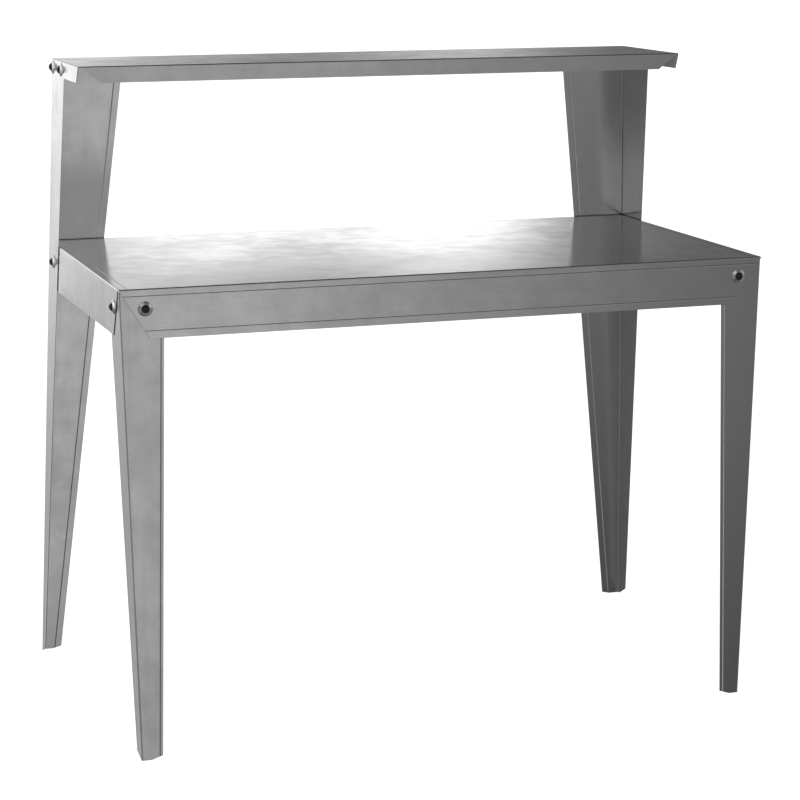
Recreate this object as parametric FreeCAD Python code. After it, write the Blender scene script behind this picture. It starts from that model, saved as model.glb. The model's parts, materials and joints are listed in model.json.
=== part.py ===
import FreeCAD, Part
import math
import os
from FreeCAD import Vector

# Galvanised sheet-steel work bench with an upper shelf.
# Millimetres, +Z up, +X to the right seen from the front, +Y to the back.
# The origin is on the floor, in the middle of the bench's footprint.

# Overall sizes
TABLE_LENGTH = 1118.0
TABLE_DEPTH = 594.0
TABLE_HEIGHT = 780.0
SHELF_RISE = 326.0
SHELF_INSET = 10.0        # each end of the shelf stands this far inside the table's end
SHELF_DEPTH = 248.0
POST_SPLAY = 0.062        # how far a rear post runs back for each unit that it drops

# Sheets and fits
PAN_SHEET = 1.0           # table top and shelf
LEG_SHEET = 1.2           # legs, posts and stiffener
FIT = 0.05                # gap between two sheets that are bolted together
PAN_BEND = 2.5            # outer bend radius of the pans
LEG_BEND = 3.0            # outer bend radius of legs and posts
TOP_GAP = 0.8             # from a pan's bend down to the end of a leg or post

# Table pan
APRON_DROP = 80.0
APRON_HEM = 12.0
APRON_CREASE = 12.0       # crease line below the fold
TOP_CREASE = 15.0         # crease line on the top, in from the side folds
FRONT_MITRE = 50.0        # how far the front apron's slanted ends run in
SIDE_MITRE = 50.0         # the same on the side aprons
REAR_MITRE = 20.0
CORNER_RELIEF = 1.2       # each folded side ends this far short of the corner
CORNER_SLIT = 0.25        # open slit between two bends at a corner
HEM_NOTCH = 30.0          # the hems stop this far short of the front legs
HEM_END = 2.0             # a hem ends this far short of its side's slanted end

# Shelf pan
LIP_DROP = 28.0
LIP_HEM = 8.0
LIP_MITRE = 38.0
LIP_SIDE_MITRE = 14.0
LIP_REAR_MITRE = 5.0

# Pressed crease lines
CREASE_DEPTH = 0.25
CREASE_HALF = 1.1

# Front legs, tapered angles
LEG_TOP_WIDTH = 74.0
LEG_FOOT_WIDTH = 35.5
LEG_LEAN = 0.0246         # how far the corner runs in for each unit that it drops
LEG_HEM = 5.0
LEG_FOOT_FLAT = 17.8      # part of the front flange's foot that stands on the floor
LEG_FOOT_RISE = 6.0       # from there the foot rises towards the free edge

# Rear posts, tapered angles from the floor to the shelf
POST_BACK_TOP = 127.0
POST_BACK_FOOT = 36.0
POST_SIDE_TOP = 118.0
POST_SIDE_FOOT = 33.0
POST_HEM = 12.0
POST_FOOT_FLAT = 21.6
POST_BACK_RISE = 3.5
POST_SIDE_RISE = 15.0
HEM_STOP = 3.0            # a post's hem ends this far below the shelf's lip

# Stiffening channel under the table top
STIFFENER_INSET = 59.0    # each of its ends stands this far inside the table's end
STIFFENER_DEPTH = 20.0
STIFFENER_CROWN = 40.0
STIFFENER_FLANGE = 18.0

# Bolts, raised washers, flat washers and nuts
BOLT_RADIUS = 4.0
BOLT_LENGTH_STEP = 5.0    # bolts are made in steps of this length
HOLE_CLEARANCE = 0.4
HEAD_RADIUS = 7.0
HEAD_HEIGHT = 4.6
SOCKET_FLATS = 5.0
SOCKET_DEPTH = 2.4
CUP_RADIUS = 12.0
CUP_HEIGHT = 3.0
CUP_LAND = 0.6            # flat ring left around the bolt's head
CUP_WALL = 1.2
CUP_EDGE = 0.5
FLAT_WASHER_RADIUS = 8.0
FLAT_WASHER_THICK = 1.6
NUT_FLATS = 13.0
NUT_HEIGHT = 6.5
NUT_BEVEL = 0.25          # the nut's round face is this much wider than its flats

# Where the bolts are
BOLT_DROP = 32.0          # below the table surface
FRONT_BOLT_IN = 43.5      # in from the table's end, on the front and the back
SIDE_BOLT_IN = 38.0       # back from the table's front
REAR_SIDE_BOLT_IN = 46.0  # forward from the table's back edge
SHELF_BOLT_DROP = 14.5    # below the shelf surface
SHELF_BOLT_IN = 17.0      # forward from the shelf's back edge
SHELF_BOLT_PITCH = 76.0

# Levels and edges that follow from the sizes above
SHELF_HEIGHT = TABLE_HEIGHT + SHELF_RISE
HEAD_STANDOUT = CUP_HEIGHT + HEAD_HEIGHT
FOOT_BEHIND = FIT + LEG_SHEET + POST_SPLAY * TABLE_HEIGHT
TABLE_FRONT = (HEAD_STANDOUT - TABLE_DEPTH - FOOT_BEHIND) / 2
TABLE_BACK = TABLE_FRONT + TABLE_DEPTH
TABLE_END = TABLE_LENGTH / 2
SHELF_END = TABLE_END - SHELF_INSET
POST_TOP = SHELF_HEIGHT - PAN_BEND - TOP_GAP
LEG_TOP = TABLE_HEIGHT - PAN_BEND - TOP_GAP
MARGIN = 20.0             # how far cutting tools run past the metal


def flare_to_shelf():
    """How far a post runs out for each unit that it drops.

    The post's outer face lies on the inner face of the shelf's lip at the top and
    its inner face on the outer face of the table's apron, both leaning as it does.
    """
    offset = SHELF_INSET + 2 * FIT + LEG_SHEET
    reach = math.sqrt(SHELF_RISE ** 2 + offset ** 2 - PAN_SHEET ** 2)
    return (offset * SHELF_RISE + PAN_SHEET * reach) / (SHELF_RISE ** 2 - PAN_SHEET ** 2)


POST_FLARE = flare_to_shelf()
LIP_WALL = PAN_SHEET * math.hypot(1.0, POST_SPLAY)
SHELF_BACK = TABLE_BACK + 2 * FIT + LEG_SHEET + LIP_WALL - POST_SPLAY * SHELF_RISE
SHELF_FRONT = SHELF_BACK - SHELF_DEPTH


def post_end(z):
    """Outer face of a post's side flange, as a distance from the middle of the bench."""
    return TABLE_END + FIT + LEG_SHEET + POST_FLARE * (TABLE_HEIGHT - z)


def post_back(z):
    """Outer face of a post's back flange."""
    return TABLE_BACK + FIT + LEG_SHEET + POST_SPLAY * (TABLE_HEIGHT - z)


def leg_end(z):
    """Outer face of a front leg's side flange, as a distance from the middle of the bench."""
    return TABLE_END - PAN_SHEET - FIT - LEG_LEAN * (TABLE_HEIGHT - z)


def mirrored(shape):
    """The same piece for the other end of the bench."""
    return shape.mirror(Vector(0, 0, 0), Vector(1, 0, 0))


def closed_face(edges):
    return Part.Face(Part.Wire(Part.__sortEdges__(edges)))


def prism(points, direction):
    """A solid pushed along one direction from a flat outline."""
    return Part.Face(Part.makePolygon(points + points[:1])).extrude(direction)


# ---------------------------------------------------------------- pans

def bend_inset(slope):
    """Distance from a fold's sharp corner to where the flat top begins."""
    return PAN_BEND * (math.hypot(1.0, slope) - slope)


def notch(drop, slope):
    """Crease line across a folded side, as three points of its outer outline."""
    points = [(drop - CREASE_HALF, 0.0), (drop, CREASE_DEPTH), (drop + CREASE_HALF, 0.0)]
    return [(slope * h - depth, -h) for h, depth in points]


def apron_face(drop, slope, creases):
    """Cross-section of a folded side: the bend, then the flat that hangs down.

    It is drawn in the YZ plane with the outer face towards -Y and the sharp corner
    at the origin. The slope is how far the side flares out for each unit of drop.
    """
    run = math.hypot(1.0, slope)
    centre = (-bend_inset(slope), -PAN_BEND)
    outward = (1.0 / run, slope / run)
    halfway = math.radians(45.0) + math.atan(slope) / 2.0

    def on_bend(radius, way):
        return (centre[0] + radius * way[0], centre[1] + radius * way[1])

    bend_inner = PAN_BEND - PAN_SHEET
    middle = (math.cos(halfway), math.sin(halfway))
    wall = PAN_SHEET * run
    outer_arc = [on_bend(PAN_BEND, w) for w in ((0.0, 1.0), middle, outward)]
    inner_arc = [on_bend(bend_inner, w) for w in (outward, middle, (0.0, 1.0))]
    flat = []
    for crease in creases:
        flat += notch(crease, slope)
    flat += [(slope * drop, -drop), (slope * drop - wall, -drop)]

    def at(point):
        return Vector(0, -point[0], point[1])

    corners = [outer_arc[2]] + flat + [inner_arc[0]]
    edges = [Part.LineSegment(at(a), at(b)).toShape() for a, b in zip(corners, corners[1:])]
    edges.append(Part.Arc(*[at(p) for p in outer_arc]).toShape())
    edges.append(Part.Arc(*[at(p) for p in inner_arc]).toShape())
    edges.append(Part.LineSegment(at(inner_arc[2]), at(outer_arc[0])).toShape())
    return closed_face(edges)


def swept(stations, section):
    """A solid along X. Its section follows the slope from each station to the next."""
    spans = []
    for (start, slope), (end, next_slope) in zip(stations, stations[1:]):
        face = section(slope)
        face.translate(Vector(start, 0, 0))
        if slope == next_slope:
            spans.append(face.extrude(Vector(end - start, 0, 0)))
            continue
        far = section(next_slope)
        far.translate(Vector(end, 0, 0))
        spans.append(Part.makeLoft([face.OuterWire, far.OuterWire], True, True))
    return spans[0].multiFuse(spans[1:]) if len(spans) > 1 else spans[0]


def folded_side(stations, drop, creases, mitres, leans):
    """One side of a pan along X, trimmed to its slanted ends and its corner mitres.

    The stations are (place along X, slope), centred on the side. A lean is how far a
    corner's mitre line runs in for each unit towards the middle.
    """
    half = stations[-1][0]
    end = half - CORNER_RELIEF
    longer = [(stations[0][0] - MARGIN, stations[0][1])] + stations[1:-1]
    longer.append((half + MARGIN, stations[-1][1]))
    strip = swept(longer, lambda slope: apron_face(drop, slope, creases))
    left, right = mitres
    extra = (drop + MARGIN) / drop
    hanging = [
        Vector(-end, -MARGIN, MARGIN),
        Vector(end, -MARGIN, MARGIN),
        Vector(end, -MARGIN, 0),
        Vector(end - right * extra, -MARGIN, -drop * extra),
        Vector(-end + left * extra, -MARGIN, -drop * extra),
        Vector(-end, -MARGIN, 0),
    ]
    tip = half - CORNER_SLIT
    left_run, right_run = [lean * MARGIN for lean in leans]
    seen_from_above = [
        Vector(-tip - left_run, -MARGIN, MARGIN),
        Vector(tip + right_run, -MARGIN, MARGIN),
        Vector(tip - right_run, MARGIN, MARGIN),
        Vector(-tip + left_run, MARGIN, MARGIN),
    ]
    strip = strip.common(prism(hanging, Vector(0, 3 * MARGIN, 0)))
    return strip.common(prism(seen_from_above, Vector(0, 0, -drop - 3 * MARGIN)))


def hem_face(drop, slope, height):
    """Section of the folded-back edge on the inner face of a side."""
    wall = PAN_SHEET * math.hypot(1.0, slope)
    top = drop - height
    outline = []
    for level, depth in ((drop, wall), (top, wall), (top, 2 * wall), (drop, 2 * wall)):
        outline.append(Vector(0, depth - slope * level, -level))
    return Part.Face(Part.makePolygon(outline + outline[:1]))


def placed(shape, turn, x, y, z):
    """A side drawn along X, turned about Z and moved to its edge of the pan."""
    shape = shape.copy()
    shape.rotate(Vector(0, 0, 0), Vector(0, 0, 1), turn)
    shape.translate(Vector(x, y, z))
    return shape


def straight(half, slope):
    """Stations of a side whose slope is the same from end to end."""
    return [(-half, slope), (half, slope)]


def pan(half, level, drop, side_stations, back_slope, mitres, creases):
    """A flat sheet with its four sides folded down.

    The side stations are (place along Y, slope) from the front edge to the back one.
    """
    front_mitre, side_mitre, back_mitre = mitres
    front, front_slope = side_stations[0]
    back, rear_slope = side_stations[-1]
    middle = (front + back) / 2
    front_in = bend_inset(0.0)
    back_in = bend_inset(back_slope)
    at_front = bend_inset(front_slope) / front_in
    at_back = bend_inset(rear_slope) / back_in
    front_side = folded_side(straight(half, 0.0), drop, creases,
                             (front_mitre, front_mitre), (at_front, at_front))
    back_side = folded_side(straight(half, back_slope), drop, (),
                            (back_mitre, back_mitre), (at_back, at_back))
    end_stations = [(y - middle, slope) for y, slope in side_stations]
    end_side = folded_side(end_stations, drop, creases,
                           (side_mitre, back_mitre), (1 / at_front, 1 / at_back))
    end_side = placed(end_side, 90, half, middle, level)
    sides = [
        placed(front_side, 0, 0, front, level),
        placed(back_side, 180, 0, back, level),
        end_side,
        mirrored(end_side),
    ]
    levels = [front + front_in] + [y for y, _ in side_stations[1:-1]] + [back - back_in]
    right_edge = [
        Vector(half - bend_inset(slope), y, level)
        for y, (_, slope) in zip(levels, side_stations)
    ]
    left_edge = [Vector(-p.x, p.y, p.z) for p in reversed(right_edge)]
    plate = prism(right_edge + left_edge, Vector(0, 0, -PAN_SHEET))
    return plate.multiFuse(sides)


def crease_tool(x, front, back, level):
    """A shallow V-shaped bar that presses a line into a flat top, along Y."""
    outline = [
        Vector(x - CREASE_HALF, front, level),
        Vector(x + CREASE_HALF, front, level),
        Vector(x, front, level - CREASE_DEPTH),
    ]
    return prism(outline, Vector(0, back - front, 0))


def table_sides():
    """Stations of the side aprons: flat on the front leg, twisted, flat on the rear post."""
    leg_zone = TABLE_FRONT + LEG_TOP_WIDTH + HEM_NOTCH
    return [
        (TABLE_FRONT, -LEG_LEAN),
        (leg_zone, -LEG_LEAN),
        (TABLE_BACK - POST_SIDE_TOP, POST_FLARE),
        (TABLE_BACK, POST_FLARE),
    ]


def table_top():
    """Table surface with aprons all round, hemmed along the bottom between the legs."""
    sides = table_sides()
    mitres = (FRONT_MITRE, SIDE_MITRE, REAR_MITRE)
    creases = (APRON_CREASE, APRON_DROP - APRON_HEM)
    top = pan(TABLE_END, TABLE_HEIGHT, APRON_DROP, sides, POST_SPLAY, mitres, creases)

    def hem(stations):
        return swept(stations, lambda slope: hem_face(APRON_DROP, slope, APRON_HEM))

    front_half = TABLE_END - LEG_TOP_WIDTH - HEM_NOTCH
    back_half = TABLE_END - REAR_MITRE - HEM_END
    end_hem = hem(sides[1:3] + [(TABLE_BACK - REAR_MITRE - HEM_END, POST_FLARE)])
    end_hem = placed(end_hem, 90, TABLE_END, 0, TABLE_HEIGHT)
    hems = [
        placed(hem(straight(front_half, 0.0)), 0, 0, TABLE_FRONT, TABLE_HEIGHT),
        placed(hem(straight(back_half, POST_SPLAY)), 180, 0, TABLE_BACK, TABLE_HEIGHT),
        end_hem,
        mirrored(end_hem),
    ]
    top = top.multiFuse(hems)
    for side in (-1, 1):
        line = side * (TABLE_END - TOP_CREASE)
        top = top.cut(crease_tool(line, TABLE_FRONT + PAN_BEND, TABLE_BACK - PAN_BEND, TABLE_HEIGHT))
    return top.removeSplitter()


def upper_shelf():
    """Shallow shelf with folded lips that reach down outside the posts."""
    mitres = (LIP_MITRE, LIP_SIDE_MITRE, LIP_REAR_MITRE)
    sides = [(SHELF_FRONT, POST_FLARE), (SHELF_BACK, POST_FLARE)]
    shelf = pan(SHELF_END, SHELF_HEIGHT, LIP_DROP, sides, POST_SPLAY, mitres, ())
    hem_half = SHELF_END - LIP_MITRE - HEM_END
    hem = swept(straight(hem_half, 0.0), lambda slope: hem_face(LIP_DROP, slope, LIP_HEM))
    hem = placed(hem, 0, 0, SHELF_FRONT, SHELF_HEIGHT)
    return shelf.fuse(hem).removeSplitter()


def table_stiffener():
    """Hat-section channel that runs lengthwise under the table surface."""
    under = TABLE_HEIGHT - PAN_SHEET - FIT
    middle = (TABLE_FRONT + TABLE_BACK) / 2
    crown = STIFFENER_CROWN / 2
    reach = crown + STIFFENER_FLANGE
    outline = [(reach, 0), (crown - LEG_SHEET, 0), (crown - LEG_SHEET, LEG_SHEET - STIFFENER_DEPTH)]
    lower = [(crown, -STIFFENER_DEPTH), (crown, -LEG_SHEET), (reach, -LEG_SHEET)]
    right = outline + [(-y, z) for y, z in reversed(outline)]
    left = [(-y, z) for y, z in reversed(lower)]
    end = TABLE_END - STIFFENER_INSET
    points = [Vector(-end, middle + y, under + z) for y, z in right + left + lower]
    return prism(points, Vector(2 * end, 0, 0))


# ---------------------------------------------------------------- legs and posts

def flange_outline(width, hem, hem_out, along):
    """Outer and inner points of one flange, from its free edge to the corner.

    The free edge is folded over, inwards or outwards, and a crease shows on the
    other face. A hem of 0 gives a plain edge. `along` turns (distance, depth) into
    a point of the section.
    """
    sheet = LEG_SHEET
    line = width - hem
    if hem == 0:
        outer = [(width, 0.0)]
        inner = [(width, sheet)]
    elif hem_out:
        outer = [(width, -sheet), (line, -sheet), (line, 0.0)]
        inner = [(width, sheet), (line + CREASE_HALF, sheet), (line, sheet - CREASE_DEPTH),
                 (line - CREASE_HALF, sheet)]
    else:
        outer = [(width, 0.0), (line + CREASE_HALF, 0.0), (line, CREASE_DEPTH),
                 (line - CREASE_HALF, 0.0)]
        inner = [(width, 2 * sheet), (line, 2 * sheet), (line, sheet)]
    return [along(*p) for p in outer], [along(*p) for p in inner]


def angle_section(first, second, hems, corner):
    """Closed wire of a bent angle. `corner` gives its outer corner, height and the way in."""
    x, y, z, way_x, way_y = corner
    bend_inner = LEG_BEND - LEG_SHEET
    slant = math.sqrt(0.5)

    def at(point):
        return Vector(x + way_x * point[0], y + way_y * point[1], z)

    def on_bend(radius, cos, sin):
        return at((LEG_BEND - radius * cos, LEG_BEND - radius * sin))

    outer_1, inner_1 = flange_outline(first, *hems[0], lambda far, deep: (far, deep))
    outer_2, inner_2 = flange_outline(second, *hems[1], lambda far, deep: (deep, far))
    ways = ((0, 1), (slant, slant), (1, 0))
    outer_arc = Part.Arc(*[on_bend(LEG_BEND, *way) for way in ways])
    inner_arc = Part.Arc(*[on_bend(bend_inner, *way) for way in reversed(ways)])
    run_1 = [at(p) for p in outer_1] + [outer_arc.StartPoint]
    run_2 = [outer_arc.EndPoint] + [at(p) for p in reversed(outer_2)] + [at(p) for p in inner_2]
    run_2.append(inner_arc.StartPoint)
    run_3 = [inner_arc.EndPoint] + [at(p) for p in reversed(inner_1)] + run_1[:1]

    def lines(points):
        return [Part.LineSegment(a, b).toShape() for a, b in zip(points, points[1:])]

    edges = lines(run_1) + [outer_arc.toShape()] + lines(run_2) + [inner_arc.toShape()] + lines(run_3)
    return Part.Wire(edges)


def foot_cut(corner, way, start, end, rise):
    """A wedge that lifts one flange's bottom edge towards its free side.

    The flange starts at `corner` and runs the way `way` points; the wedge crosses
    only that flange's sheet.
    """
    across = Vector(-way.y, way.x, 0)
    across = across * MARGIN
    slope = rise / (end - start)
    far = end + MARGIN
    outline = [
        corner + way * start + Vector(0, 0, -MARGIN),
        corner + way * start,
        corner + way * far + Vector(0, 0, slope * (far - start)),
        corner + way * far + Vector(0, 0, -MARGIN),
    ]
    return prism([p - across for p in outline], across * 2)


def front_leg():
    """Right front leg: a tapered angle inside the front and side aprons."""
    front = TABLE_FRONT + PAN_SHEET + FIT
    hems = ((LEG_HEM, False), (LEG_HEM, False))
    sections = []
    for z, width in ((0.0, LEG_FOOT_WIDTH), (LEG_TOP, LEG_TOP_WIDTH)):
        sections.append(angle_section(width, width, hems, (leg_end(z), front, z, -1, 1)))
    leg = Part.makeLoft(sections, True, True)
    corner = Vector(leg_end(0), front, 0)
    clear = 2 * LEG_BEND
    face = foot_cut(corner, Vector(-1, 0, 0), LEG_FOOT_FLAT, LEG_FOOT_WIDTH, LEG_FOOT_RISE)
    side = foot_cut(corner, Vector(0, 1, 0), clear, LEG_FOOT_WIDTH, LEG_FOOT_RISE)
    return leg.cut(face).cut(side)


def behind_post(low, high):
    """The space behind a post's back flange between two levels."""
    outline = [
        Vector(0, post_back(low), low),
        Vector(0, post_back(high), high),
        Vector(0, post_back(high) + MARGIN, high),
        Vector(0, post_back(low) + MARGIN, low),
    ]
    return prism(outline, Vector(TABLE_LENGTH, 0, 0))


def rear_post():
    """Right rear post: one tapered angle from the floor to the shelf, outside the aprons."""
    hems = ((POST_HEM, True), (0.0, False))
    sections = []
    for z, back_width, side_width in ((0.0, POST_BACK_FOOT, POST_SIDE_FOOT),
                                      (POST_TOP, POST_BACK_TOP, POST_SIDE_TOP)):
        corner = (post_end(z), post_back(z), z, -1, -1)
        sections.append(angle_section(back_width, side_width, hems, corner))
    post = Part.makeLoft(sections, True, True)
    post = post.cut(behind_post(SHELF_HEIGHT - LIP_DROP - HEM_STOP, SHELF_HEIGHT))
    corner = Vector(post_end(0), post_back(0), 0)
    clear = 2 * LEG_BEND
    back = foot_cut(corner, Vector(-1, 0, 0), POST_FOOT_FLAT, POST_BACK_FOOT, POST_BACK_RISE)
    side = foot_cut(corner, Vector(0, -1, 0), clear, POST_SIDE_FOOT, POST_SIDE_RISE)
    return post.cut(back).cut(side)


# ---------------------------------------------------------------- fasteners

def hexagon(flats, height):
    """Hexagonal prism on the XY plane, pushed along +Z."""
    radius = flats / math.sqrt(3.0)
    corners = []
    for i in range(6):
        turn = math.radians(60 * i)
        corners.append(Vector(radius * math.cos(turn), radius * math.sin(turn), 0))
    return prism(corners, Vector(0, 0, height))


def lifted(shape, z):
    shape.translate(Vector(0, 0, z))
    return shape


def bolt_length(grip):
    """The shortest bolt made that reaches through the nut."""
    needed = CUP_HEIGHT + grip + FLAT_WASHER_THICK + NUT_HEIGHT
    return BOLT_LENGTH_STEP * math.ceil(needed / BOLT_LENGTH_STEP)


def bolt(grip):
    """Domed bolt: +Z points out of the sheet and 0 is the outer face of the sheet."""
    dome = (HEAD_RADIUS ** 2 + HEAD_HEIGHT ** 2) / (2 * HEAD_HEIGHT)
    ball = Part.makeSphere(dome, Vector(0, 0, HEAD_STANDOUT - dome))
    slab = Part.makeCylinder(MARGIN, HEAD_HEIGHT, Vector(0, 0, CUP_HEIGHT))
    head = ball.common(slab)
    length = bolt_length(grip)
    shank = Part.makeCylinder(BOLT_RADIUS, length, Vector(0, 0, CUP_HEIGHT - length))
    socket = lifted(hexagon(SOCKET_FLATS, SOCKET_DEPTH), HEAD_STANDOUT - SOCKET_DEPTH)
    return head.fuse(shank).cut(socket).removeSplitter()


def cup_washer():
    """Raised washer: a dished ring that lies on its rim and carries the bolt head."""
    hole = BOLT_RADIUS + HOLE_CLEARANCE
    land = HEAD_RADIUS + CUP_LAND
    outline = [
        (hole, CUP_HEIGHT), (land, CUP_HEIGHT), (CUP_RADIUS, CUP_EDGE), (CUP_RADIUS, 0.0),
        (CUP_RADIUS - CUP_WALL, 0.0), (land, CUP_HEIGHT - CUP_WALL), (hole, CUP_HEIGHT - CUP_WALL),
    ]
    points = [Vector(r, 0, z) for r, z in outline]
    face = Part.Face(Part.makePolygon(points + points[:1]))
    return face.revolve(Vector(0, 0, 0), Vector(0, 0, 1), 360)


def flat_washer(grip):
    """Flat washer on the inner face of the joint."""
    low = Vector(0, 0, -grip - FLAT_WASHER_THICK)
    ring = Part.makeCylinder(FLAT_WASHER_RADIUS, FLAT_WASHER_THICK, low)
    return ring.cut(Part.makeCylinder(BOLT_RADIUS + HOLE_CLEARANCE, FLAT_WASHER_THICK, low))


def nut(grip):
    """Hexagonal nut against the flat washer."""
    low = Vector(0, 0, -grip - FLAT_WASHER_THICK - NUT_HEIGHT)
    body = lifted(hexagon(NUT_FLATS, NUT_HEIGHT), low.z)
    face_radius = NUT_FLATS / 2 + NUT_BEVEL
    body = body.common(Part.makeCone(face_radius, face_radius + NUT_HEIGHT, NUT_HEIGHT, low))
    return body.cut(Part.makeCylinder(BOLT_RADIUS, NUT_HEIGHT, low))


def set_at(shape, seat):
    """Turn a fastener from +Z to the seat's outward direction and move it there."""
    point, outward, _grip = seat
    turn = FreeCAD.Rotation(Vector(0, 0, 1), outward)
    shape = shape.copy()
    shape.transformShape(FreeCAD.Placement(point, turn).toMatrix(), True)
    return shape


def bolt_hole(seat):
    """Clearance hole through every sheet of one joint."""
    _point, _outward, grip = seat
    reach = grip + CUP_HEIGHT
    hole = Part.makeCylinder(BOLT_RADIUS + HOLE_CLEARANCE, 2 * reach, Vector(0, 0, -reach))
    return set_at(hole, seat)


def seats():
    """Each bolted joint on the right: outer face point, outward direction and grip.

    They are grouped by the corner of the bench that they hold.
    """
    level = TABLE_HEIGHT - BOLT_DROP
    joint = PAN_SHEET + FIT + LEG_SHEET
    side_out = Vector(1, 0, POST_FLARE)
    back_out = Vector(0, 1, POST_SPLAY)
    apron_end = TABLE_END - LEG_LEAN * BOLT_DROP
    shelf_level = SHELF_HEIGHT - SHELF_BOLT_DROP
    lip_end = SHELF_END + POST_FLARE * SHELF_BOLT_DROP
    front = [
        (Vector(TABLE_END - FRONT_BOLT_IN, TABLE_FRONT, level), Vector(0, -1, 0), joint),
        (Vector(apron_end, TABLE_FRONT + SIDE_BOLT_IN, level), Vector(1, 0, -LEG_LEAN), joint),
    ]
    rear = [
        (Vector(post_end(level), TABLE_BACK - REAR_SIDE_BOLT_IN, level), side_out, joint),
        (Vector(TABLE_END - FRONT_BOLT_IN, post_back(level), level), back_out, joint),
    ]
    shelf = []
    for i in range(2):
        y = SHELF_BACK - SHELF_BOLT_IN - SHELF_BOLT_PITCH * i
        shelf.append((Vector(lip_end, y, shelf_level), side_out, joint))
    return {"front": front, "rear": rear, "shelf": shelf}


def fasteners():
    """Every bolt, washer and nut, grouped by corner, for the right and left ends."""
    pieces = {}
    for corner, joints in seats().items():
        grips = [grip for _point, _outward, grip in joints]
        kinds = {
            "bolts": [bolt(grip) for grip in grips],
            "cup_washers": [cup_washer() for _ in grips],
            "flat_washers": [flat_washer(grip) for grip in grips],
            "nuts": [nut(grip) for grip in grips],
        }
        for name, solids in kinds.items():
            solids = [set_at(solid, seat) for solid, seat in zip(solids, joints)]
            pieces[f"{corner}_{name}_right"] = Part.makeCompound(solids)
            pieces[f"{corner}_{name}_left"] = Part.makeCompound([mirrored(s) for s in solids])
    return pieces


def drilled(shape, corners, sides):
    """Cut the clearance holes of the named corners, at one end or at both."""
    for corner in corners:
        for seat in seats()[corner]:
            hole = bolt_hole(seat)
            if "right" in sides:
                shape = shape.cut(hole)
            if "left" in sides:
                shape = shape.cut(mirrored(hole))
    return shape


def bench():
    """Every piece of the bench, by node name."""
    both = ("right", "left")
    leg = drilled(front_leg(), ["front"], ["right"])
    post = drilled(rear_post(), ["rear", "shelf"], ["right"])
    pieces = {
        "table_top": drilled(table_top(), ["front", "rear"], both),
        "table_stiffener": table_stiffener(),
        "upper_shelf": drilled(upper_shelf(), ["shelf"], both),
        "front_leg_right": leg,
        "front_leg_left": mirrored(leg),
        "rear_post_right": post,
        "rear_post_left": mirrored(post),
    }
    pieces.update(fasteners())
    return pieces


os.makedirs("parts", exist_ok=True)
for node, shape in bench().items():
    shape.exportStep(f"parts/{node}.step")
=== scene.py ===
import json
import math

import bpy
from mathutils import Euler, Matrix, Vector


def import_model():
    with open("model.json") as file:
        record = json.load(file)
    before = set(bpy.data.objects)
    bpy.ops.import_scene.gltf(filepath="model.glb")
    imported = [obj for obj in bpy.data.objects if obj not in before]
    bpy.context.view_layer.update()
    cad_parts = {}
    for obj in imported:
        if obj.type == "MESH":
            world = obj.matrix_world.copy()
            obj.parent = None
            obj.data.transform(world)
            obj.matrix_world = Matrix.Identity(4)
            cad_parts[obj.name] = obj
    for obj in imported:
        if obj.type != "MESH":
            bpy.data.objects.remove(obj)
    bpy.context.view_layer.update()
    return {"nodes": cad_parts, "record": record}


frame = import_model()

# Camera: where it stands and how it is turned, in metres and degrees
CAMERA_PLACE = (-1.290, -3.906, 1.3675)
CAMERA_YAW = 18.44
CAMERA_PITCH = 11.86
CAMERA_ROLL = -0.08
VIEW_WIDTH = 19.298
SENSOR = 36.0

# Painted shade on faces that look down, the cut edges among them, where it also stands for
# their bare steel: the vertical parts of the normal between which they darken, and how far
EDGE_FACING = (-0.45, -0.30)
EDGE_SHADE = 0.3

# Painted shade with some dirt in the corners of the joints, from ambient occlusion: its reach
# in metres, the openness between which it fades out, and how dark it gets
JOINT_REACH = 0.005
JOINT_SAMPLES = 8
JOINT_OPENNESS = (0.45, 0.8)
JOINT_SHADE = 0.15
# the near-black grey that the painted shade and the dirt darken towards
SHADE_AND_GRIME_GREY = 0.05

# Galvanised zinc. Pattern scales are in cells a metre; the shares add up to one
MOTTLE_SCALE = 26.0
MOTTLE_SHARE = 0.45
CLOUD_SCALE = 5.0
CLOUD_SHARE = 0.35
ROLLING_SHARE = 0.2
ZINC_BLEND = (0.38, 0.62)
ZINC_DARKEST = 0.92
ZINC_LIGHTEST = 1.06
ZINC_GLOSS_SPREAD = 0.03
SPECK_SCALE = 12.0
SPECK_RADII = (0.015, 0.025)
SPECK_PATCH_SCALE = 7.0
SPECK_PATCHES = (0.52, 0.54)
SPECK_STRENGTH = 0.8
SPECK_GREY = 0.08

# Relief of the zinc: strength, and height in metres
WAVE_SCALE = 3.0
WAVES = (0.2, 0.004)
ROLLING_RELIEF = (0.03, 0.0004)
MOTTLE_RELIEF = (0.06, 0.0004)

# How each sheet is rolled, its middle grey and its middle roughness
ALONG = 4.0
ACROSS = 160.0
PAN_SHEET = ((ALONG, ACROSS, ACROSS), 0.60, 0.17)
LEG_SHEET = ((ACROSS, ACROSS, ALONG), 0.58, 0.19)

# Fastener metals: how metallic, wear scale and detail, the wear's range for the greys,
# the two greys, the wear's range for the roughness, the two roughnesses and the relief
FASTENER_RELIEF_HEIGHT = 0.0002
BLACK_OXIDE = (0.6, 420.0, 4.0, (0.4, 0.7), (0.012, 0.05), (0.3, 0.7), (0.42, 0.30), 0.15)
BRIGHT_ZINC = (1.0, 300.0, 5.0, (0.35, 0.65), (0.42, 0.66), (0.35, 0.65), (0.38, 0.22), 0.12)

FLOOR_HALF = 60.0
FLOOR_GREY = 0.9
FLOOR_MOTTLE = 0.99
FLOOR_MOTTLE_SCALE = 0.8
FLOOR_ROUGHNESS = 0.9
FLOOR_SPECULAR = 0.1
FLOOR_GLOW = 0.95

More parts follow.
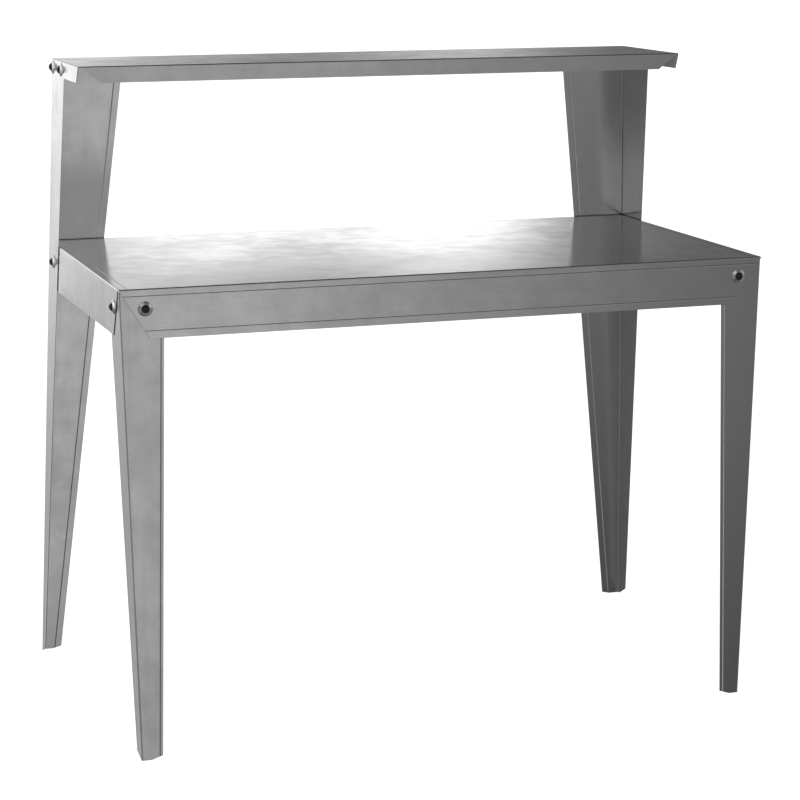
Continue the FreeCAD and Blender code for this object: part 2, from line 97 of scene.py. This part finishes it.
# Soft glows around the bench: azimuth from +Y towards +X and elevation in degrees,
# how tightly each one gathers, and its strength in the middle
GLOWS = {
    "front_right": (158.0, -10.0, 100.0, 0.06),
    "front_far_right": (120.0, 15.0, 16.0, 0.9),
    "front_middle": (166.0, -10.0, 100.0, 0.38),
    "front_low": (175.0, -20.0, 100.0, 0.86),
    "front_left": (225.0, -20.0, 12.0, 0.4),
    "front_high": (180.0, 15.0, 12.0, 0.75),
    "front_left_high": (205.0, 30.0, 20.0, 0.9),
    "left": (270.0, 10.0, 10.0, 0.25),
    "left_behind": (300.0, 10.0, 10.0, 2.0),
    "left_rim": (-16.0, 20.0, 60.0, 3.5),
    "behind_low": (0.0, -20.0, 10.0, 0.54),
    "behind_level": (-6.0, -2.0, 140.0, 1.65),
    "right_behind": (60.0, 10.0, 14.0, 0.8),
    "right_low": (90.0, -30.0, 6.0, 0.35),
    "overhead": (0.0, 90.0, 6.0, 0.15),
    "underneath": (0.0, -90.0, 6.0, 0.3),
}

# A clear sheet behind the bench with soft bright spots that the table and shelf reflect:
# its edges in metres, then each spot's X, Z, half width, half height and strength
CARD_PLACE = 1.6
CARD = (-2.5, 4.0, 0.6, 2.2)
SPOTS = {
    "left": (-0.35, 1.08, 0.25, 0.07, 0.69),
    "left_high": (-0.35, 1.22, 0.25, 0.1, 0.78),
    "middle": (0.0, 0.98, 0.25, 0.07, 1.7),
    "middle_high": (0.0, 1.22, 0.25, 0.1, 0.32),
    "pool": (0.35, 0.98, 0.25, 0.07, 1.25),
    "pool_high": (0.35, 1.22, 0.25, 0.1, 0.14),
    "right": (0.7, 0.98, 0.25, 0.07, 2.35),
    "right_high": (0.7, 1.22, 0.25, 0.1, 0.62),
    "far_right": (1.05, 1.08, 0.25, 0.07, 0.21),
}


# ---------------------------------------------------------------- node helpers

def math_node(tree, operation, *values):
    """A math node fed with numbers and sockets."""
    made = tree.nodes.new("ShaderNodeMath")
    made.operation = operation
    for socket, value in zip(made.inputs, values):
        if isinstance(value, float):
            socket.default_value = value
        else:
            tree.links.new(value, socket)
    return made.outputs["Value"]


class Shader:
    """A material's node tree with short calls for adding and joining nodes."""

    def __init__(self, name):
        self.material = bpy.data.materials.new(name)
        self.material.use_nodes = True
        self.tree = self.material.node_tree
        self.surface = self.tree.nodes["Principled BSDF"]
        coordinates = self.tree.nodes.new("ShaderNodeTexCoord")
        self.place = coordinates.outputs["Object"]
        self.normal = coordinates.outputs["Normal"]

    def node(self, kind, **settings):
        made = self.tree.nodes.new(kind)
        for key, value in settings.items():
            setattr(made, key, value)
        return made

    def join(self, source, target):
        self.tree.links.new(source, target)

    def stretched(self, scale):
        """The object's own coordinates, scaled along each axis."""
        mapping = self.node("ShaderNodeMapping")
        mapping.inputs["Scale"].default_value = scale
        self.join(self.place, mapping.inputs["Vector"])
        return mapping.outputs["Vector"]

    def noise(self, scale, detail, roughness=0.55, vector=None):
        made = self.node("ShaderNodeTexNoise")
        made.inputs["Scale"].default_value = scale
        made.inputs["Detail"].default_value = detail
        made.inputs["Roughness"].default_value = roughness
        self.join(vector or self.place, made.inputs["Vector"])
        return made.outputs["Fac"]

    def span(self, source, low, high, to_low, to_high):
        """A value mapped from one range to another, and held at its ends."""
        made = self.node("ShaderNodeMapRange")
        self.join(source, made.inputs["Value"])
        for name, value in zip(("From Min", "From Max", "To Min", "To Max"),
                               (low, high, to_low, to_high)):
            made.inputs[name].default_value = value
        return made.outputs["Result"]

    def math(self, operation, first, second):
        return math_node(self.tree, operation, first, second)

    def grey(self, source, low, high):
        """A colour that runs between two greys."""
        ramp = self.node("ShaderNodeValToRGB")
        for element, level in zip(ramp.color_ramp.elements, (low, high)):
            element.color = (level, level, level, 1)
        self.join(source, ramp.inputs["Fac"])
        return ramp.outputs["Color"]

    def bump(self, height, strength, distance, normal=None):
        made = self.node("ShaderNodeBump")
        made.inputs["Strength"].default_value = strength
        made.inputs["Distance"].default_value = distance
        self.join(height, made.inputs["Height"])
        if normal:
            self.join(normal, made.inputs["Normal"])
        return made.outputs["Normal"]

    def painted_shade_and_grime(self, colour):
        """The colour with painted shade: darker on faces that look down, cut edges among them,
        and in the corners of joints, where the shade stands with some dirt.
        """
        facing = self.node("ShaderNodeSeparateXYZ")
        self.join(self.normal, facing.inputs["Vector"])
        # painted shade on every face that looks down, the cut edges among them
        edge = self.span(facing.outputs["Z"], *EDGE_FACING, EDGE_SHADE, 1.0)
        # painted shade, with some dirt, where ambient occlusion finds the corners of joints
        corner = self.node("ShaderNodeAmbientOcclusion", samples=JOINT_SAMPLES)
        corner.inputs["Distance"].default_value = JOINT_REACH
        shade_and_dirt = self.span(corner.outputs["AO"], *JOINT_OPENNESS, JOINT_SHADE, 1.0)
        mixed = self.node("ShaderNodeMix", data_type="RGBA")
        self.join(self.math("MULTIPLY", edge, shade_and_dirt), mixed.inputs["Factor"])
        mixed.inputs["A"].default_value = (SHADE_AND_GRIME_GREY, SHADE_AND_GRIME_GREY, SHADE_AND_GRIME_GREY, 1)
        self.join(colour, mixed.inputs["B"])
        return mixed.outputs["Result"]

    def paint(self, colour, roughness, normal):
        self.join(colour, self.surface.inputs["Base Color"])
        self.join(roughness, self.surface.inputs["Roughness"])
        self.join(normal, self.surface.inputs["Normal"])


def galvanised(name, rolled, level, gloss):
    """Satin galvanised sheet: mottled zinc, faint rolling lines and a few dark specks.

    `rolled` stretches the rolling lines along the sheet, `level` is the middle grey
    and `gloss` the middle roughness.
    """
    s = Shader(name)
    s.surface.inputs["Metallic"].default_value = 1.0
    mottle = s.noise(MOTTLE_SCALE, detail=5.0, roughness=0.6)
    cloud = s.noise(CLOUD_SCALE, detail=3.0)
    lines = s.noise(1.0, detail=6.0, roughness=0.7, vector=s.stretched(rolled))
    blend = s.math("ADD", s.math("MULTIPLY", mottle, MOTTLE_SHARE),
                   s.math("MULTIPLY", lines, ROLLING_SHARE))
    blend = s.math("ADD", blend, s.math("MULTIPLY", cloud, CLOUD_SHARE))
    tone = s.span(blend, *ZINC_BLEND, 0.0, 1.0)
    colour = s.grey(tone, level * ZINC_DARKEST, level * ZINC_LIGHTEST)
    speck = s.node("ShaderNodeTexVoronoi")
    speck.inputs["Scale"].default_value = SPECK_SCALE
    s.join(s.place, speck.inputs["Vector"])
    dot = s.span(speck.outputs["Distance"], *SPECK_RADII, 1.0, 0.0)
    patch = s.noise(SPECK_PATCH_SCALE, detail=1.0)
    chance = s.span(patch, *SPECK_PATCHES, 0.0, SPECK_STRENGTH)
    dark = s.node("ShaderNodeMix", data_type="RGBA")
    s.join(s.math("MULTIPLY", dot, chance), dark.inputs["Factor"])
    s.join(colour, dark.inputs["A"])
    dark.inputs["B"].default_value = (SPECK_GREY, SPECK_GREY, SPECK_GREY, 1)
    rough = s.span(blend, *ZINC_BLEND, gloss + ZINC_GLOSS_SPREAD, gloss - ZINC_GLOSS_SPREAD)
    waves = s.bump(s.noise(WAVE_SCALE, detail=1.0), *WAVES)
    skin = s.bump(lines, *ROLLING_RELIEF, waves)
    grain = s.bump(mottle, *MOTTLE_RELIEF, skin)
    # the sheet's colour gets painted shade on faces that look down and in the corners of joints
    s.paint(s.painted_shade_and_grime(dark.outputs["Result"]), rough, grain)
    return s.material


def fastener(name, metal):
    """Finely worn fastener steel, from one of the metals named at the top."""
    metallic, scale, detail, grey_wear, greys, rough_wear, roughs, relief = metal
    s = Shader(name)
    s.surface.inputs["Metallic"].default_value = metallic
    wear = s.noise(scale, detail)
    colour = s.grey(s.span(wear, *grey_wear, 0.0, 1.0), *greys)
    rough = s.span(wear, *rough_wear, *roughs)
    s.paint(colour, rough, s.bump(wear, relief, FASTENER_RELIEF_HEIGHT))
    return s.material


def dress(materials):
    """Give each CAD node the material of its record slot."""
    slots = {row["node"]: row["material_slot"] for row in frame["record"]["subparts"]}
    for name, node in frame["nodes"].items():
        for place in node.material_slots:
            place.material = materials[slots[name]]


# ---------------------------------------------------------------- stage

def floor():
    mesh = bpy.data.meshes.new("floor")
    h = FLOOR_HALF
    mesh.from_pydata([(-h, -h, 0), (h, -h, 0), (h, h, 0), (-h, h, 0)], [], [(0, 1, 2, 3)])
    made = bpy.data.objects.new("floor", mesh)
    bpy.context.scene.collection.objects.link(made)
    s = Shader("floor")
    patches = s.noise(FLOOR_MOTTLE_SCALE, detail=2.0)
    tone = s.grey(patches, FLOOR_GREY * FLOOR_MOTTLE, FLOOR_GREY)
    s.join(tone, s.surface.inputs["Base Color"])
    s.surface.inputs["Roughness"].default_value = FLOOR_ROUGHNESS
    s.surface.inputs["Specular IOR Level"].default_value = FLOOR_SPECULAR
    s.surface.inputs["Emission Color"].default_value = (1, 1, 1, 1)
    s.surface.inputs["Emission Strength"].default_value = FLOOR_GLOW
    mesh.materials.append(s.material)
    made.visible_glossy = False
    made.visible_shadow = False


def aim(azimuth, elevation):
    """Unit direction from an azimuth (+Y towards +X) and an elevation in degrees."""
    level = math.cos(math.radians(elevation))
    turn = math.radians(azimuth)
    return (math.sin(turn) * level, math.cos(turn) * level, math.sin(math.radians(elevation)))


def world():
    """A studio made of soft glows, each one fading smoothly away from its middle."""
    made = bpy.data.worlds.new("studio")
    bpy.context.scene.world = made
    made.use_nodes = True
    tree = made.node_tree
    towards = tree.nodes.new("ShaderNodeVectorMath")
    towards.operation = "NORMALIZE"
    place = tree.nodes.new("ShaderNodeTexCoord").outputs["Generated"]
    tree.links.new(place, towards.inputs[0])
    total = 0.0
    for azimuth, elevation, gather, strength in GLOWS.values():
        dot = tree.nodes.new("ShaderNodeVectorMath")
        dot.operation = "DOT_PRODUCT"
        tree.links.new(towards.outputs["Vector"], dot.inputs[0])
        dot.inputs[1].default_value = aim(azimuth, elevation)
        fade = math_node(tree, "MULTIPLY_ADD", dot.outputs["Value"], gather, -gather)
        glow = math_node(tree, "MULTIPLY", math_node(tree, "EXPONENT", fade), strength)
        total = math_node(tree, "ADD", total, glow)
    background = tree.nodes["Background"]
    background.inputs["Color"].default_value = (1, 1, 1, 1)
    tree.links.new(total, background.inputs["Strength"])


def card():
    """A clear sheet behind the bench with soft bright spots on it, which the metal reflects."""
    left, right, bottom, top = CARD
    corners = [(left, CARD_PLACE, bottom), (right, CARD_PLACE, bottom),
               (right, CARD_PLACE, top), (left, CARD_PLACE, top)]
    mesh = bpy.data.meshes.new("card")
    mesh.from_pydata(corners, [], [(0, 1, 2, 3)])
    made = bpy.data.objects.new("card", mesh)
    bpy.context.scene.collection.objects.link(made)
    material = bpy.data.materials.new("card")
    material.use_nodes = True
    tree = material.node_tree
    place = tree.nodes.new("ShaderNodeTexCoord").outputs["Object"]
    total = 0.0
    for x, z, half_width, half_height, strength in SPOTS.values():
        centred = tree.nodes.new("ShaderNodeMapping")
        centred.inputs["Location"].default_value = (-x / half_width, 0, -z / half_height)
        centred.inputs["Scale"].default_value = (1 / half_width, 0, 1 / half_height)
        tree.links.new(place, centred.inputs["Vector"])
        square = tree.nodes.new("ShaderNodeVectorMath")
        square.operation = "DOT_PRODUCT"
        for socket in square.inputs[:2]:
            tree.links.new(centred.outputs["Vector"], socket)
        fade = math_node(tree, "MULTIPLY", square.outputs["Value"], -1.0)
        spot = math_node(tree, "MULTIPLY", math_node(tree, "EXPONENT", fade), strength)
        total = math_node(tree, "ADD", total, spot)
    light = tree.nodes.new("ShaderNodeEmission")
    tree.links.new(total, light.inputs["Strength"])
    both = tree.nodes.new("ShaderNodeAddShader")
    tree.links.new(light.outputs["Emission"], both.inputs[0])
    clear = tree.nodes.new("ShaderNodeBsdfTransparent")
    tree.links.new(clear.outputs["BSDF"], both.inputs[1])
    tree.links.new(both.outputs["Shader"], tree.nodes["Material Output"].inputs["Surface"])
    mesh.materials.append(material)
    made.visible_camera = False
    made.visible_diffuse = False
    made.visible_shadow = False


def camera():
    data = bpy.data.cameras.new("camera")
    data.sensor_width = SENSOR
    data.lens = SENSOR / 2 / math.tan(math.radians(VIEW_WIDTH / 2))
    made = bpy.data.objects.new("camera", data)
    bpy.context.scene.collection.objects.link(made)
    made.location = CAMERA_PLACE
    turn = Euler((math.radians(90 - CAMERA_PITCH), 0, math.radians(-CAMERA_YAW)), "XYZ")
    roll = Euler((0, 0, math.radians(CAMERA_ROLL)), "XYZ").to_matrix()
    made.rotation_euler = (turn.to_matrix() @ roll).to_euler()
    bpy.context.scene.camera = made


dress({
    "galvanised_pan_sheet": galvanised("pan_sheet", *PAN_SHEET),
    "galvanised_leg_sheet": galvanised("leg_sheet", *LEG_SHEET),
    "black_bolt_steel": fastener("black_bolts", BLACK_OXIDE),
    "zinc_washer": fastener("washers", BRIGHT_ZINC),
    "zinc_nut": fastener("nuts", BRIGHT_ZINC),
})
floor()
world()
card()
camera()
bpy.context.scene.view_settings.view_transform = "Standard"
